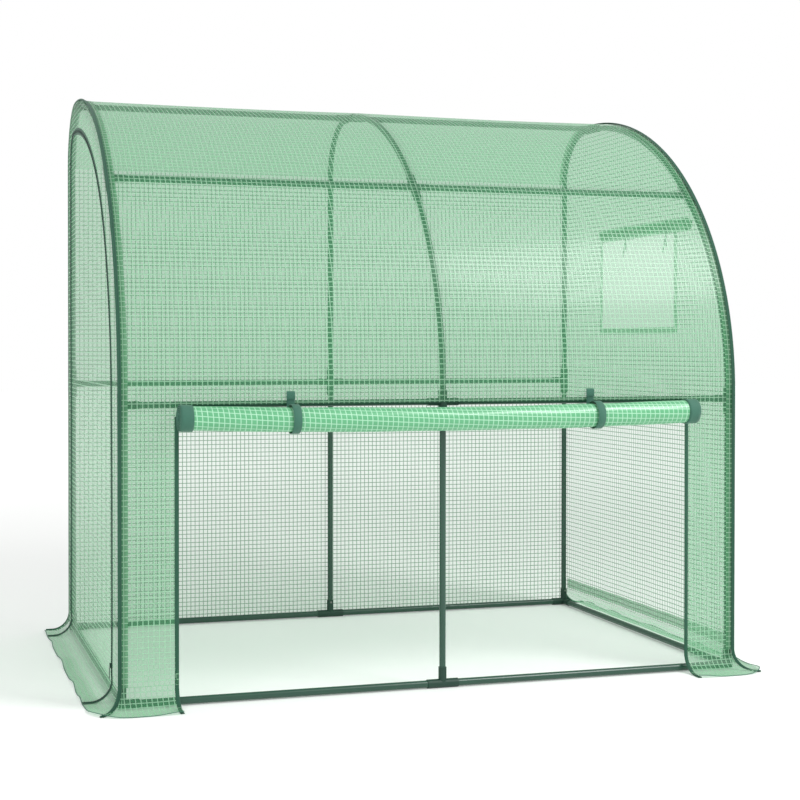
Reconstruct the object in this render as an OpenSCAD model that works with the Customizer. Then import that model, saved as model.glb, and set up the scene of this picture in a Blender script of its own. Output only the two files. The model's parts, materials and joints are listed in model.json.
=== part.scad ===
// Lean-to tunnel greenhouse: steel tube hoops and rails in moulded joints,
// under a sewn cover with a roll-up front door, a zipped end door, a roll-up
// end window and a skirt that lies on the ground.
// X runs along the wall, -Y is the front, +Y is the wall side, Z is up.

/* [Frame] */
// Length between the centres of the two end hoops
frame_length = 2220; // [1600:10:3200]
// Depth between the centres of the front and rear legs
frame_depth = 1320; // [1000:10:1700]
// Height of the tube centre at the top of a hoop
frame_height = 2118; // [1700:10:2600]
// Radius of the tight bend over the rear legs
rear_bend_r = 212; // [120:4:300]
// Straight end of a hoop below its front arc, down to the door header
arc_straight = 25; // [20:1:60]
// Height of the rail across the rear legs
rear_rail_height = 1020; // [700:10:1300]
// Place of the upper front purlin along the front arc, in degrees above level
upper_purlin_angle = 42; // [30:1:60]
// Place of the ridge purlin along the front arc, in degrees above level
ridge_purlin_angle = 87; // [80:1:88]

/* [Tubes and joints] */
// Diameter of the hoop, purlin and side rail tubes
tube_d = 22; // [16:1:25]
// Diameter of the front and rear ground rails
rail_d = 25; // [18:1:25]
// Wall of every tube
tube_wall = 1; // [0.8:0.1:1.5]
// Wall of the moulded joints around the tube that runs through them
joint_wall = 2.5; // [2:0.5:4]
// Reach of a socket from the centre of its joint
socket_reach = 56; // [45:1:70]
// How far the header joints reach onto the front arc
sleeve_on_arc = 15; // [5:1:18]
// Radial play between a tube and its joint
fit_gap = 0.2; // [0.1:0.1:0.4]

/* [Cover] */
// Thickness of the cover sheet
sheet_t = 2; // [1:0.5:3]
// Play between the cover and what it lies on
sheet_gap = 0.3; // [0.2:0.1:0.5]
// Width of the fixed front strip beside the doorway
flap_w = 200; // [150:10:400]
// Distance from the edge of the zipped end door to the edge of its end
zip_inset = 100; // [70:5:200]
// Width of a zip
zip_w = 14; // [8:1:20]
// Diameter of the piping along the seams of the two ends
piping_d = 7; // [4:1:10]
// Width of the tape on the upright edges of the doorway
tape_w = 14; // [8:1:20]
// Width of the skirt on the ground, outside the cover
skirt_w = 100; // [85:5:160]
// Radius of the turn from the cover to its skirt
skirt_turn_r = 70; // [40:5:80]

/* [Rolled door] */
// Diameter of the rolled front door
roll_d = 92; // [60:2:110]
// How far the roll passes the doorway at each side
roll_overlap = 8; // [2:1:40]
// How far the middle of the roll hangs below its ends
roll_sag = 16; // [8:1:30]
// Length of the bound edge at each end of the roll
roll_edge_w = 42; // [20:1:60]
// How much thicker the bound edge makes the roll
roll_edge_extra = 4; // [2:1:8]
// Distance of each tie from the middle of the doorway
tie_x = 548; // [350:1:650]
// Width of a tie
tie_w = 28; // [18:1:40]
// Thickness of a tie
tie_t = 1.5; // [1:0.5:3]
// How far a tie reaches above the lower edge of the roof
tie_rise = 42; // [25:1:60]

/* [End window] */
// Width of the window
window_w = 590; // [400:10:700]
// Height of the window
window_h = 370; // [250:10:450]
// Height of the window sill
window_sill = 1250; // [1000:10:1350]
// Distance from the front legs to the middle of the window
window_y = 700; // [600:10:750]
// Diameter of the rolled window flap
window_roll_d = 58; // [40:2:80]
// How far the rolled flap passes the window at each side
window_roll_overlap = 45; // [20:5:60]
// Thickness of the window net
net_t = 1; // [0.5:0.5:1.5]

/* [Hidden] */
$fn = 64;

tube_green = "#1f5a43";
joint_green = "#1c4a3a";
cover_green = "#7fcf9f";
trim_green = "#12402f";
net_white = "#e6efe8";

main_sleeve_d = rail_d + 2 * joint_wall;      // around rails and hoops
leg_socket_d = main_sleeve_d - 2;             // around a leg at the ground
branch_socket_d = main_sleeve_d - 4;          // around a tube that meets a hoop or a corner
socket_start = main_sleeve_d / 2;             // blind end of a socket, from the joint's centre
tube_start = socket_start + 0.5;              // end of the tube in it

sheet_in = main_sleeve_d / 2 + sheet_gap;     // tube centre to the inside of the cover
sheet_out = sheet_in + sheet_t;

half_length = frame_length / 2;
rail_z = main_sleeve_d / 2;
rear_reach = sheet_gap + piping_d;            // piping behind the rear cover
front_y = (skirt_w - rear_reach - frame_depth) / 2;
rear_y = front_y + frame_depth;
front_arc_r = frame_depth - rear_bend_r;
arc_y = front_y + front_arc_r;                // centre of both bends, along Y
arc_z = frame_height - front_arc_r;           // centre of the front arc
header_z = arc_z - arc_straight;              // front leg meets the hoop, at the door header
bend_z = frame_height - rear_bend_r;          // rear leg meets the rear bend
end_in = half_length + sheet_in;
end_out = half_length + sheet_out;
skirt_top = skirt_turn_r + sheet_t;
doorway_half = end_out - flap_w;

big_fn = 256;

// ---- helpers ----

// Children drawn in a plane across the greenhouse: x becomes Y, y becomes Z,
// and what they are extruded by runs along +X from x
module across(x) {
  translate([x, 0, 0]) rotate([90, 0, 90]) children();
}

module straight_tube(length, d) {
  difference() {
    cylinder(h = length, d = d);
    translate([0, 0, -1]) cylinder(h = length + 2, d = d - 2 * tube_wall);
  }
}

// A tube from x0 to x1 at a height and a depth
module tube_along_x(x0, x1, y, z, d) {
  translate([x0, y, z]) rotate([0, 90, 0]) straight_tube(x1 - x0, d);
}

module tube_along_y(x, y0, y1, z, d) {
  translate([x, y0, z]) rotate([-90, 0, 0]) straight_tube(y1 - y0, d);
}

// A ring section swept from angle a0 to a1 at radius r
module bend(r, a0, a1, d, inner_d = 0) {
  rotate([0, 0, a0]) rotate_extrude(angle = a1 - a0, $fn = big_fn) translate([r, 0]) difference() {
    circle(d = d, $fn = 48);
    if (inner_d > 0) circle(d = inner_d, $fn = 48);
  }
}

// The outline of an end, a distance o outside the tube centres
module end_outline(o, front_base, rear_base) {
  intersection() {
    translate([arc_y, arc_z]) circle(r = front_arc_r + o, $fn = big_fn);
    translate([front_y - o - 1, arc_z]) square([front_arc_r + o + 1, front_arc_r + o + 1]);
  }
  intersection() {
    translate([arc_y, bend_z]) circle(r = rear_bend_r + o, $fn = big_fn);
    translate([arc_y, bend_z]) square([rear_bend_r + o + 1, rear_bend_r + o + 1]);
  }
  if (front_base < arc_z)
    translate([front_y - o, front_base]) square([front_arc_r + o, arc_z - front_base]);
  translate([arc_y, min(rear_base, arc_z)])
    square([rear_bend_r + o, bend_z - min(rear_base, arc_z)]);
}

// ---- hoops ----

module front_leg(x) {
  color(tube_green) translate([x, front_y, rail_z + tube_start])
    straight_tube(header_z - fit_gap - rail_z - tube_start, tube_d);
}

module rear_leg(x) {
  color(tube_green) translate([x, rear_y, rail_z + tube_start])
    straight_tube(rear_rail_height - fit_gap - rail_z - tube_start, tube_d);
}

module arch(x) {
  color(tube_green) {
    across(x) {
      translate([arc_y, arc_z]) bend(front_arc_r, 90, 180, tube_d, tube_d - 2 * tube_wall);
      translate([arc_y, bend_z]) bend(rear_bend_r, 0, 90, tube_d, tube_d - 2 * tube_wall);
    }
    translate([x, front_y, header_z]) straight_tube(arc_straight, tube_d);
    translate([x, rear_y, rear_rail_height]) straight_tube(bend_z - rear_rail_height, tube_d);
  }
}

module left_front_leg() { front_leg(-half_length); }
module middle_front_leg() { front_leg(0); }
module right_front_leg() { front_leg(half_length); }
module left_rear_leg() { rear_leg(-half_length); }
module middle_rear_leg() { rear_leg(0); }
module right_rear_leg() { rear_leg(half_length); }
module left_arch() { arch(-half_length); }
module middle_arch() { arch(0); }
module right_arch() { arch(half_length); }

// ---- ground rails ----

module ground_rail(side, y) {
  x0 = side < 0 ? -half_length + tube_start : tube_start;
  x1 = side < 0 ? -tube_start : half_length - tube_start;
  color(tube_green) tube_along_x(x0, x1, y, rail_z, rail_d);
}

module side_rail(x) {
  color(tube_green) tube_along_y(x, front_y + tube_start, rear_y - tube_start, rail_z, tube_d);
}

module front_rail_left() { ground_rail(-1, front_y); }
module front_rail_right() { ground_rail(1, front_y); }
module rear_rail_left() { ground_rail(-1, rear_y); }
module rear_rail_right() { ground_rail(1, rear_y); }
module left_side_rail() { side_rail(-half_length); }
module right_side_rail() { side_rail(half_length); }

// ---- purlins, each in two lengths that meet at the middle hoop ----

module purlin(y, z) {
  color(tube_green) {
    tube_along_x(-half_length + tube_start, -tube_start, y, z, tube_d);
    tube_along_x(tube_start, half_length - tube_start, y, z, tube_d);
  }
}

function arc_point(angle) =
  [arc_y - front_arc_r * cos(angle), arc_z + front_arc_r * sin(angle)];

module door_header() { purlin(front_y, header_z); }
module upper_purlin() { purlin(arc_point(upper_purlin_angle)[0], arc_point(upper_purlin_angle)[1]); }
module ridge_purlin() { purlin(arc_point(ridge_purlin_angle)[0], arc_point(ridge_purlin_angle)[1]); }
module rear_purlin() { purlin(rear_y, rear_rail_height); }

// ---- joints ----

// sides holds -1, 1 or both: the directions in which tubes along X leave
module x_sockets(sides, d) {
  for (s = sides) rotate([0, 90 * s, 0]) cylinder(h = socket_reach, d = d);
}

module x_socket_bores(sides, d) {
  for (s = sides) rotate([0, 90 * s, 0]) translate([0, 0, socket_start])
    cylinder(h = socket_reach, d = d + 2 * fit_gap);
}

// A sleeve on an upright tube, with sockets for a purlin
module upright_joint(x, y, z, sides, reach_up) {
  translate([x, y, z]) difference() {
    union() {
      translate([0, 0, -socket_reach]) cylinder(h = socket_reach + reach_up, d = main_sleeve_d);
      x_sockets(sides, branch_socket_d);
    }
    translate([0, 0, -socket_reach - 1])
      cylinder(h = socket_reach + reach_up + 2, d = tube_d + 2 * fit_gap);
    x_socket_bores(sides, tube_d);
  }
}

// The same sleeve, bent to the front arc
module arc_joint(x, angle, sides) {
  reach_angle = socket_reach / front_arc_r * 180 / PI;
  bore_angle = reach_angle + 0.2;
  centre = arc_point(angle);
  difference() {
    union() {
      across(x) translate([arc_y, arc_z])
        bend(front_arc_r, 180 - angle - reach_angle, 180 - angle + reach_angle, main_sleeve_d);
      translate([x, centre[0], centre[1]]) x_sockets(sides, branch_socket_d);
    }
    across(x) translate([arc_y, arc_z])
      bend(front_arc_r, 180 - angle - bore_angle, 180 - angle + bore_angle, tube_d + 2 * fit_gap);
    translate([x, centre[0], centre[1]]) x_socket_bores(sides, tube_d);
  }
}

module arch_joints(x, sides) {
  color(joint_green) {
    upright_joint(x, front_y, header_z, sides, arc_straight + sleeve_on_arc);
    arc_joint(x, upper_purlin_angle, sides);
    arc_joint(x, ridge_purlin_angle, sides);
    upright_joint(x, rear_y, rear_rail_height, sides, socket_reach);
  }
}

// A corner on the ground: a leg, a rail along X and a rail along Y.
// side and depth_side point from the corner along its rails.
module corner_joint(x, y, side, depth_side) {
  translate([x, y, rail_z]) difference() {
    union() {
      translate([-side * main_sleeve_d / 2, 0, 0]) rotate([0, 90 * side, 0])
        cylinder(h = main_sleeve_d / 2 + socket_reach, d = main_sleeve_d);
      cylinder(h = socket_reach, d = leg_socket_d);
      rotate([-90 * depth_side, 0, 0]) cylinder(h = socket_reach, d = branch_socket_d);
    }
    x_socket_bores([side], rail_d);
    translate([0, 0, socket_start]) cylinder(h = socket_reach, d = tube_d + 2 * fit_gap);
    rotate([-90 * depth_side, 0, 0]) translate([0, 0, socket_start])
      cylinder(h = socket_reach, d = tube_d + 2 * fit_gap);
  }
}

module corner_joints(x, side) {
  color(joint_green) {
    corner_joint(x, front_y, side, 1);
    corner_joint(x, rear_y, side, -1);
  }
}

module middle_joint(y) {
  color(joint_green) translate([0, y, rail_z]) difference() {
    union() {
      x_sockets([-1, 1], main_sleeve_d);
      cylinder(h = socket_reach, d = leg_socket_d);
    }
    x_socket_bores([-1, 1], rail_d);
    translate([0, 0, socket_start]) cylinder(h = socket_reach, d = tube_d + 2 * fit_gap);
  }
}

module left_arch_joints() { arch_joints(-half_length, [1]); }
module middle_arch_joints() { arch_joints(0, [-1, 1]); }
module right_arch_joints() { arch_joints(half_length, [-1]); }
module left_corner_joints() { corner_joints(-half_length, 1); }
module right_corner_joints() { corner_joints(half_length, -1); }
module front_middle_joint() { middle_joint(front_y); }
module rear_middle_joint() { middle_joint(rear_y); }

// ---- cover ----

module roof_cover() {
  color(cover_green, 0.6) across(-end_out) linear_extrude(2 * end_out) {
    difference() {
      intersection() {
        translate([arc_y, arc_z]) circle(r = front_arc_r + sheet_out, $fn = big_fn);
        translate([front_y - sheet_out - 1, arc_z])
          square([front_arc_r + sheet_out + 1, front_arc_r + sheet_out + 1]);
      }
      translate([arc_y, arc_z]) circle(r = front_arc_r + sheet_in, $fn = big_fn);
    }
    difference() {
      intersection() {
        translate([arc_y, bend_z]) circle(r = rear_bend_r + sheet_out, $fn = big_fn);
        translate([arc_y, bend_z]) square([rear_bend_r + sheet_out + 1, rear_bend_r + sheet_out + 1]);
      }
      translate([arc_y, bend_z]) circle(r = rear_bend_r + sheet_in, $fn = big_fn);
    }
    translate([front_y - sheet_out, header_z]) square([sheet_t, arc_straight]);
  }
}

module rear_cover() {
  color(cover_green, 0.6)
    translate([-end_out, rear_y + sheet_in, 0]) cube([2 * end_out, sheet_t, bend_z]);
}

module front_flap(x0) {
  color(cover_green, 0.6) translate([x0, front_y - sheet_out, skirt_top])
    cube([flap_w, sheet_t, header_z - skirt_top]);
}

module front_left_flap() { front_flap(-end_out); }
module front_right_flap() { front_flap(end_out - flap_w); }

module left_end_surround() {
  color(cover_green, 0.6) across(-end_out) linear_extrude(sheet_t) difference() {
    end_outline(sheet_in - sheet_gap, skirt_top, skirt_top);
    end_outline(-zip_inset + sheet_gap / 2, skirt_top - 1, skirt_top - 1);
  }
}

module left_zip_door() {
  color(cover_green, 0.6) across(-end_out) linear_extrude(sheet_t)
    end_outline(-zip_inset - sheet_gap / 2, skirt_top, skirt_top);
}

// The zip lies on the outside, over the seam between the surround and the door
module door_zip() {
  color(trim_green) across(-end_out - sheet_gap - sheet_t) linear_extrude(sheet_t) difference() {
    end_outline(-zip_inset + zip_w / 2, skirt_top, skirt_top);
    end_outline(-zip_inset - zip_w / 2, skirt_top - 1, skirt_top - 1);
  }
}

// The window's rectangle, grown by g
module window_area(g) {
  translate([front_y + window_y - window_w / 2 - g, window_sill - g])
    square([window_w + 2 * g, window_h + 2 * g]);
}

module right_end_panel() {
  color(cover_green, 0.6) across(end_in) linear_extrude(sheet_t) difference() {
    end_outline(sheet_in - sheet_gap, skirt_top, skirt_top);
    window_area(0);
  }
}

module window_net() {
  color(net_white, 0.6) across(end_in + (sheet_t - net_t) / 2) linear_extrude(net_t)
    window_area(-sheet_gap);
}

module window_roll() {
  length = window_w + 2 * window_roll_overlap;
  color(cover_green) translate([end_out + sheet_gap + window_roll_d / 2,
      front_y + window_y - length / 2, window_sill + window_h + window_roll_d / 2])
    rotate([-90, 0, 0]) cylinder(h = length, d = window_roll_d);
}

// ---- rolled front door ----

roll_half = doorway_half + roll_overlap;
roll_body_half = roll_half - roll_edge_w;
roll_y = front_y - sheet_out - sheet_gap - (roll_d + roll_edge_extra) / 2;
roll_end_z = header_z - roll_d / 2 + roll_sag / 2;
roll_rings = 12;
roll_sides = 24;

// Height of the roll's centre line, which hangs in a shallow bow
function roll_z(x) = roll_end_z - roll_sag * (1 - pow(x / roll_half, 2));

module rolled_door() {
  points = [
    for (i = [0 : roll_rings], j = [0 : roll_sides - 1])
      let (x = roll_body_half * (2 * i / roll_rings - 1), a = 360 * j / roll_sides)
        [x, roll_y + roll_d / 2 * cos(a), roll_z(x) + roll_d / 2 * sin(a)]
  ];
  sides = [
    for (i = [0 : roll_rings - 1], j = [0 : roll_sides - 1])
      let (k = (j + 1) % roll_sides, a = i * roll_sides, b = a + roll_sides)
        [a + j, a + k, b + k, b + j]
  ];
  ends = [
    [for (j = [roll_sides - 1 : -1 : 0]) j],
    [for (j = [0 : roll_sides - 1]) roll_rings * roll_sides + j]
  ];
  color(cover_green) polyhedron(points, concat(sides, ends));
}

module along_x(x, y, z) {
  translate([x, y, z]) rotate([0, 90, 0]) children();
}

module door_roll_edges() {
  z = roll_z(roll_half - roll_edge_w / 2);
  color(trim_green) {
    along_x(-roll_half, roll_y, z) cylinder(h = roll_edge_w, d = roll_d + roll_edge_extra);
    along_x(roll_body_half, roll_y, z) cylinder(h = roll_edge_w, d = roll_d + roll_edge_extra);
  }
}

// A tie goes round the roll and up onto the lower edge of the roof
module door_tie(side) {
  inner_d = roll_d + 4 * sheet_gap;
  x0 = side * tie_x - tie_w / 2;
  along_x(x0, roll_y, roll_z(tie_x)) difference() {
    cylinder(h = tie_w, d = inner_d + 2 * tie_t);
    translate([0, 0, -1]) cylinder(h = tie_w + 2, d = inner_d);
  }
  translate([x0, front_y - sheet_out - sheet_gap - tie_t, roll_z(tie_x)])
    cube([tie_w, tie_t, header_z + tie_rise - roll_z(tie_x)]);
}

module door_ties() {
  color(trim_green) {
    door_tie(-1);
    door_tie(1);
  }
}

module doorway_tape(x0) {
  translate([x0, front_y - sheet_out - sheet_gap - sheet_t / 2, skirt_top])
    cube([tape_w, sheet_t / 2, roll_end_z - roll_d / 2 - 2 * roll_edge_extra - skirt_top]);
}

module doorway_tapes() {
  color(trim_green) {
    doorway_tape(-doorway_half - tape_w);
    doorway_tape(doorway_half);
  }
}

// ---- skirt ----

// Section of the skirt: x is the distance from the tube centre outwards
module skirt_section() {
  translate([sheet_in, 0]) {
    difference() {
      intersection() {
        translate([skirt_top, skirt_top]) circle(r = skirt_top);
        square([skirt_top, skirt_top]);
      }
      translate([skirt_top, skirt_top]) circle(r = skirt_turn_r);
    }
    translate([skirt_top, 0]) square([skirt_w - skirt_turn_r, sheet_t]);
  }
}

// side is -1 for the left end and 1 for the right
module side_skirt(side) {
  length = frame_depth + sheet_in - sheet_gap;
  color(cover_green, 0.6) translate([side * half_length, side < 0 ? rear_y + sheet_in - sheet_gap : front_y, 0])
    rotate([0, 0, side < 0 ? 180 : 0]) rotate([90, 0, 0]) mirror([0, 0, 1])
      linear_extrude(length) skirt_section();
}

// The skirt of a front strip, with the turn round its corner leg
module front_skirt(side) {
  length = half_length - doorway_half;
  color(cover_green, 0.6) translate([side * half_length, front_y, 0]) {
    rotate([0, 0, side < 0 ? 180 : -90]) rotate_extrude(angle = 90, $fn = big_fn) skirt_section();
    rotate([0, 0, -90]) rotate([90, 0, 0]) translate([0, 0, side < 0 ? -length : 0])
      linear_extrude(length) skirt_section();
  }
}

module left_skirt() { side_skirt(-1); }
module right_skirt() { side_skirt(1); }
module front_left_skirt() { front_skirt(-1); }
module front_right_skirt() { front_skirt(1); }

// ---- piping on the seams of the ends ----

module end_piping(x) {
  o = sheet_out + sheet_gap + piping_d / 2;
  across(x) {
    translate([arc_y, arc_z]) bend(front_arc_r + o, 90, 180, piping_d);
    translate([arc_y, bend_z]) bend(rear_bend_r + o, 0, 90, piping_d);
  }
  translate([x, front_y - o, skirt_top]) cylinder(h = arc_z - skirt_top, d = piping_d);
  translate([x, rear_y + o, skirt_top]) cylinder(h = bend_z - skirt_top, d = piping_d);
}

module edge_piping() {
  color(trim_green) {
    end_piping(-end_out + piping_d / 2);
    end_piping(end_out - piping_d / 2);
  }
}

left_front_leg();
middle_front_leg();
right_front_leg();
left_rear_leg();
middle_rear_leg();
right_rear_leg();
left_arch();
middle_arch();
right_arch();
front_rail_left();
front_rail_right();
rear_rail_left();
rear_rail_right();
left_side_rail();
right_side_rail();
door_header();
upper_purlin();
ridge_purlin();
rear_purlin();
left_corner_joints();
right_corner_joints();
front_middle_joint();
rear_middle_joint();
left_arch_joints();
middle_arch_joints();
right_arch_joints();
roof_cover();
rear_cover();
front_left_flap();
front_right_flap();
left_end_surround();
left_zip_door();
door_zip();
right_end_panel();
window_net();
window_roll();
rolled_door();
door_roll_edges();
door_ties();
doorway_tapes();
left_skirt();
right_skirt();
front_left_skirt();
front_right_skirt();
edge_piping();
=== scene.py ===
"""Looks of a lean-to tunnel greenhouse: a scrim cover over a frame of painted steel tubes.

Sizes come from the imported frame, in metres. +X runs along the wall, -Y is the front, +Z is up.
"""

import json
import math

import bmesh
import bpy
from mathutils import Matrix, Vector

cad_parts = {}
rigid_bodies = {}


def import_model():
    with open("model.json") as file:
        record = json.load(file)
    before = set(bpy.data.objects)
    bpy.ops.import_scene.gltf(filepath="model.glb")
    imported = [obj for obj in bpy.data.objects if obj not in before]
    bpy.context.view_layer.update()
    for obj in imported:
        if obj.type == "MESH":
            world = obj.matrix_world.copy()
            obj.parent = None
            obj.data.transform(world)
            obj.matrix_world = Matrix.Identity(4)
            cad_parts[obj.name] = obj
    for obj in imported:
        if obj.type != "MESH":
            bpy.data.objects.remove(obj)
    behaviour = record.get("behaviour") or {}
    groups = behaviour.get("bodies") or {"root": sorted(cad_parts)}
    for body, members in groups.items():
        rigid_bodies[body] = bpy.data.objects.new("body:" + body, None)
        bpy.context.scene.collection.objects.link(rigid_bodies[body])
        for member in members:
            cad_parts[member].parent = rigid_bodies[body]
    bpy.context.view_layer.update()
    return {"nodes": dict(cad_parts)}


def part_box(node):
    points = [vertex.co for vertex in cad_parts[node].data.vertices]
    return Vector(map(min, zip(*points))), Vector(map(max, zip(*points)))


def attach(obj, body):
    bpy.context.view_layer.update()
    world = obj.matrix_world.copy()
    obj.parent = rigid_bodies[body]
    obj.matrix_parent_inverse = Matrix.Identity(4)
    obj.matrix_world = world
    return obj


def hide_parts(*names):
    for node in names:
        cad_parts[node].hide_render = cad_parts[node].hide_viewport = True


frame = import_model()

bl_info = {
    "name": "Lean-to Greenhouse",
    "version": (1, 0, 0),
    "blender": (4, 5, 0),
    "location": "View3D > Sidebar > Greenhouse",
    "description": "Cover, trims and finishes of a lean-to tunnel greenhouse",
    "category": "Object",
}

# ---- places taken from the frame ----

LEG_LOW, LEG_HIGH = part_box("left_front_leg")
TUBE_R = (LEG_HIGH.x - LEG_LOW.x) / 2
HALF_LENGTH = -(LEG_LOW.x + LEG_HIGH.x) / 2
FRONT_Y = (LEG_LOW.y + LEG_HIGH.y) / 2
REAR_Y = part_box("left_rear_leg")[1].y - TUBE_R
BEND_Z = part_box("rear_cover")[1].z
TOP_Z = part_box("middle_arch")[1].z - TUBE_R
REAR_R = TOP_Z - BEND_Z
FRONT_R = REAR_Y - FRONT_Y - REAR_R
ARC_Y = FRONT_Y + FRONT_R
ARC_Z = TOP_Z - FRONT_R

FLAP_LOW, FLAP_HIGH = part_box("front_left_flap")
HEADER_Z = FLAP_HIGH.z
SKIRT_TOP = FLAP_LOW.z
DOORWAY_HALF = -FLAP_HIGH.x
SHEET_OUT = FRONT_Y - FLAP_LOW.y
SHEET_MID = FRONT_Y - (FLAP_LOW.y + FLAP_HIGH.y) / 2
END_OUT = -FLAP_LOW.x
END_X = HALF_LENGTH + SHEET_MID

DOOR_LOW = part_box("left_zip_door")[0]
ZIP_INSET = DOOR_LOW.y - FRONT_Y
WINDOW_LOW, WINDOW_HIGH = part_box("window_net")
WINDOW_ROLL_LOW, WINDOW_ROLL_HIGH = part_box("window_roll")
ROLL_LOW, ROLL_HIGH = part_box("rolled_door")
EDGE_LOW, EDGE_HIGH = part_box("door_roll_edges")
TIE_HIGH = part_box("door_ties")[1]
TAPE_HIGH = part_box("doorway_tapes")[1]
PIPING_LOW, PIPING_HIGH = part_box("edge_piping")
SKIRT_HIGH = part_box("right_skirt")[1]

ROLL_R = (ROLL_HIGH.y - ROLL_LOW.y) / 2
ROLL_Y = (ROLL_HIGH.y + ROLL_LOW.y) / 2
ROLL_MIDDLE_Z = ROLL_LOW.z + ROLL_R
ROLL_END_Z = (EDGE_LOW.z + EDGE_HIGH.z) / 2
SKIRT_W = SKIRT_HIGH.x - END_X
SKIRT_TURN = SKIRT_TOP

LAYER = 0.0012  # between two sheets that lie on each other
STEP = 0.03  # between two places along a sheet


def linear(red, green, blue):
    """A colour given as it looks on a screen, 0 to 255, as the shader's own numbers."""
    def one(value):
        value /= 255
        return value / 12.92 if value <= 0.04045 else ((value + 0.055) / 1.055) ** 2.4

    return (one(red), one(green), one(blue))


# ---- what a user would change ----


def colour(name, description, red, green, blue):
    return bpy.props.FloatVectorProperty(
        name=name, description=description, subtype="COLOR", size=3, min=0, max=1,
        default=linear(red, green, blue),
    )


def length(name, description, metres):
    return bpy.props.FloatProperty(
        name=name, description=description, default=metres, min=0, unit="LENGTH", precision=4
    )


def share(name, description, value):
    return bpy.props.FloatProperty(
        name=name, description=description, default=value, min=0, max=1, subtype="FACTOR"
    )


class CoverSettings(bpy.types.PropertyGroup):
    thread_colour: colour("Threads", "Colour of the scrim's threads", 170, 217, 184)
    film_colour: colour("Film", "Colour of the film between the threads", 90, 172, 120)
    roll_thread_colour: colour("Rolled threads", "Threads where many layers lie together", 168, 220, 186)
    roll_film_colour: colour("Rolled film", "Film where many layers lie together", 92, 172, 122)
    # Painted shade: the threads of the sheets seen from inside get a darker colour of their own,
    # standing in for threads that block the light from behind.
    rear_thread_shade_colour: colour("Rear threads", "Threads of the sheets seen from inside", 104, 146, 118)
    net_colour: colour("Net", "Colour of the window net", 226, 240, 230)
    thread_cover: share("Thread cover", "How much of what is behind a thread hides", 0.86)
    film_cover: share("Film cover", "How much of what is behind the film hides", 0.5)
    net_cover: share("Net cover", "How much of what is behind the net hides", 0.30)
    thread_pitch: length("Thread pitch", "From one thread to the next", 0.018)
    thread_width: length("Thread width", "Width of a thread", 0.0032)
    bay_sag: length("Sag between hoops", "How far the roof pulls in between two hoops", 0.0035)
    ripple: length("Ripple", "Height of the soft folds of the cover", 0.0022)


class TrimSettings(bpy.types.PropertyGroup):
    piping_colour: colour("Piping", "Colour of the piping and the zip tape", 20, 78, 56)
    binding_colour: colour("Binding", "Colour of the bound edges and ties", 50, 102, 84)
    tie_width: length("Tie width", "Width of a tie of the rolled door", 0.028)
    piping_radius: length("Piping radius", "Half the thickness of the piping", 0.0035)
    zip_tape: length("Zip tape", "Width of the zip with its tapes", 0.026)
    tooth_pitch: length("Tooth pitch", "From one zip tooth to the next", 0.006)
    door_turns: bpy.props.IntProperty(
        name="Door turns", description="Turns in the rolled front door", default=5, min=2, max=9
    )
    window_turns: bpy.props.IntProperty(
        name="Window turns", description="Turns in the rolled window flap", default=3, min=2, max=6
    )


class FrameSettings(bpy.types.PropertyGroup):
    tube_colour: colour("Tubes", "Colour of the painted tubes", 24, 70, 53)
    joint_colour: colour("Joints", "Colour of the moulded joints", 18, 58, 44)
    screw_colour: colour("Screws", "Colour of the small screws in the joints", 150, 156, 150)
    screw_radius: length("Screw radius", "Half the width of a screw's head", 0.0042)


class ViewSettings(bpy.types.PropertyGroup):
    place: bpy.props.FloatVectorProperty(
        name="Place", description="Where the camera stands", subtype="TRANSLATION",
        size=3, unit="LENGTH", default=(-1.810, -5.196, 1.185),
    )
    yaw: bpy.props.FloatProperty(
        name="Yaw", description="Turn of the camera to the right", subtype="ANGLE",
        default=math.radians(15.35),
    )
    pitch: bpy.props.FloatProperty(
        name="Pitch", description="Turn of the camera downwards", subtype="ANGLE",
        default=math.radians(0.66),
    )
    focal: bpy.props.FloatProperty(
        name="Focal length", description="Focal length, in millimetres on a 36 mm sensor",
        default=64.1, min=10,
    )
    shift: bpy.props.FloatVectorProperty(
        name="Shift", description="Shift of the picture", size=2, default=(0.1400, -0.0500)
    )


# ---- shader maths ----


class Signal:
    """A shader socket that stands in an expression. Each sum or product adds a Math node."""

    def __init__(self, finish, socket):
        self.finish = finish
        self.socket = socket

    def math(self, operation, *others):
        values = {0: self, **dict(enumerate(others, 1))}
        return self.finish.node("ShaderNodeMath", {"operation": operation}, values)

    def __add__(self, other):
        return self.math("ADD", other)

    __radd__ = __add__

    def __mul__(self, other):
        return self.math("MULTIPLY", other)

    __rmul__ = __mul__

    def __sub__(self, other):
        return self.math("SUBTRACT", other)

    def __rsub__(self, other):
        return self.finish.node("ShaderNodeMath", {"operation": "SUBTRACT"}, {0: other, 1: self})


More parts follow.
